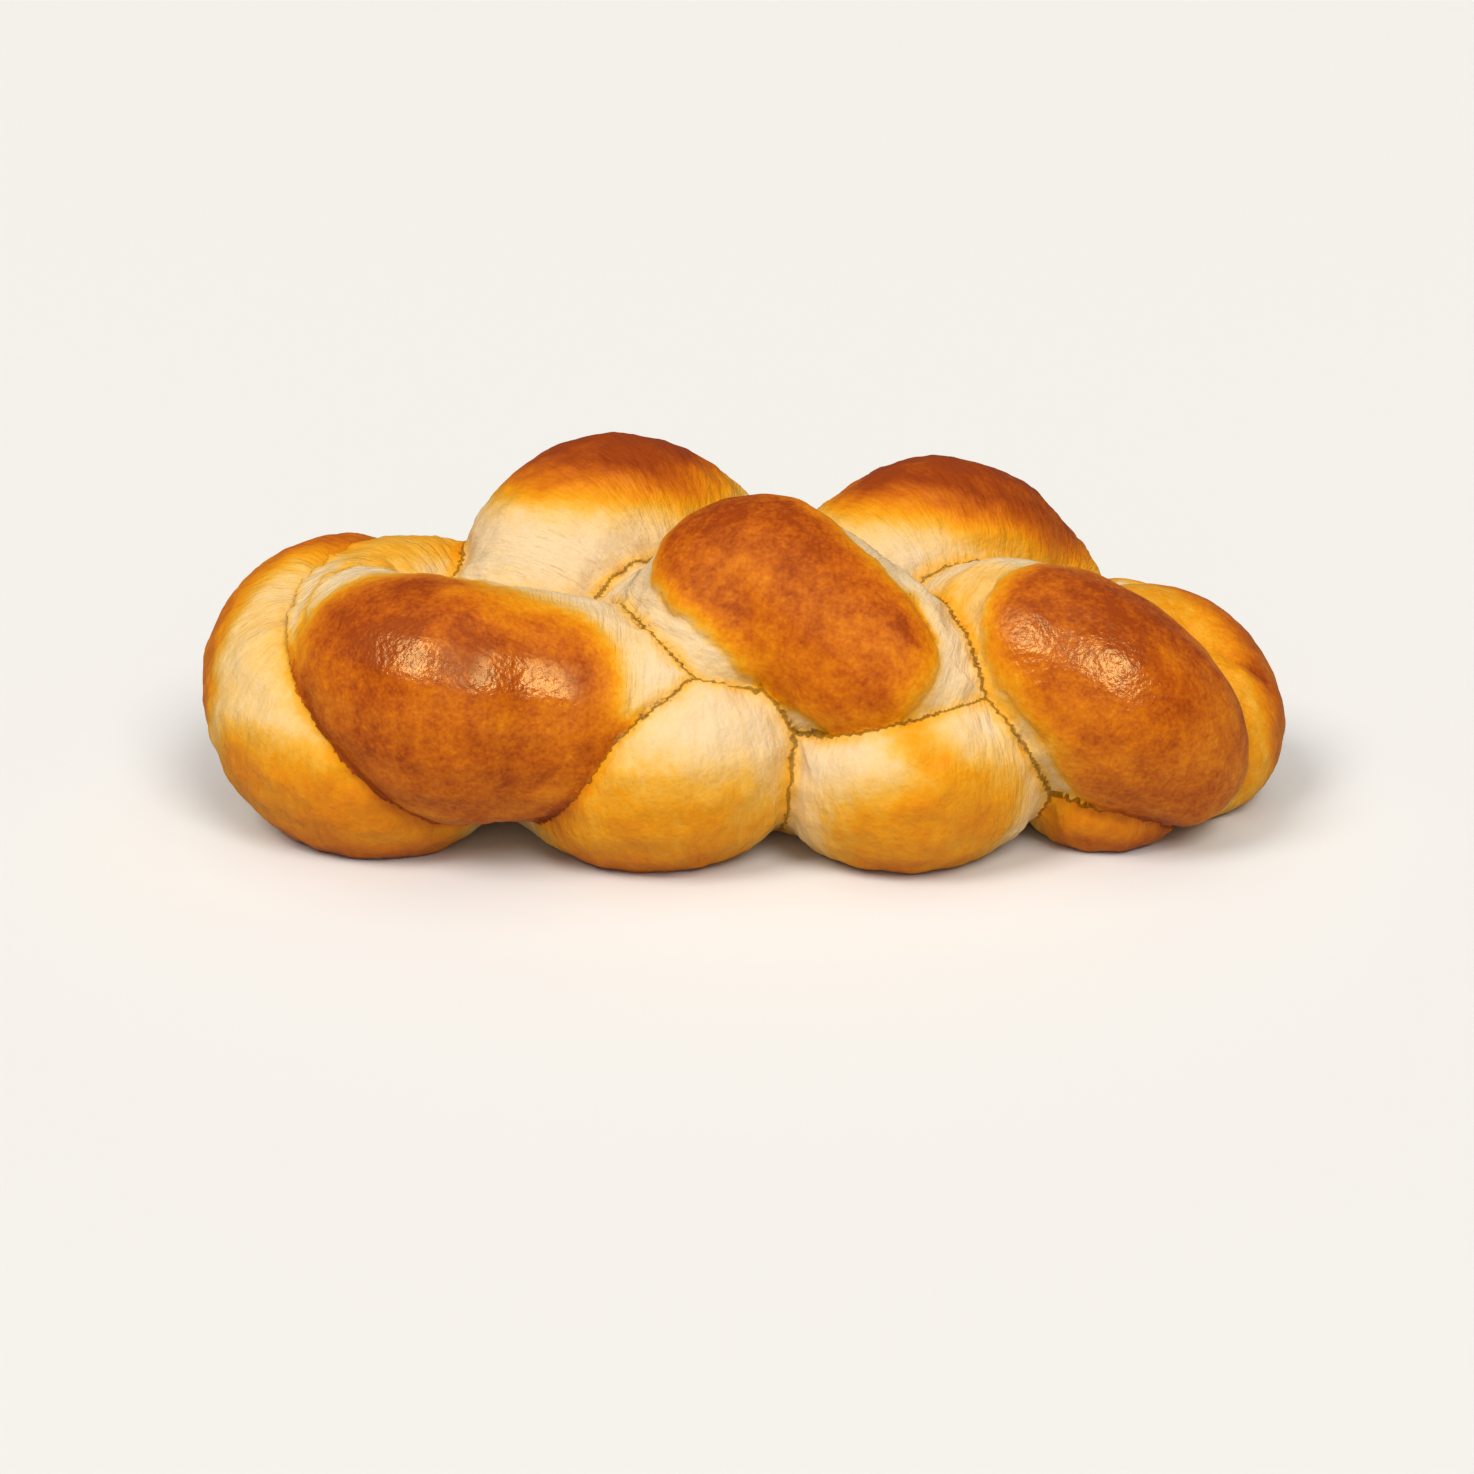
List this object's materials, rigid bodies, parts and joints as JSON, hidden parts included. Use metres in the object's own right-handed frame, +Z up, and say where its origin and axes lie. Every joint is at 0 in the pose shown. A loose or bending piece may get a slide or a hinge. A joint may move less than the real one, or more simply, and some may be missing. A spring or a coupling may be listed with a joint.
{
  "type": "braided loaf",
  "caption": "Plaited white loaf with an egg-washed golden-brown crust and pale seams, one solid with a flat base to rest on.",
  "frame": {"origin": "on the table, under the middle of the loaf's outline", "axes": "+X along the loaf, from the folded end to the tucked end; -Y the shown side; +Z up"},
  "size_m": [0.298, 0.146, 0.095],
  "materials": {
    "crust": "egg-washed bread crust, glossy brown crowns and pale matt seams"
  },
  "bodies": {
    "root": {"braided_loaf": "crust"}
  },
  "joints": []
}
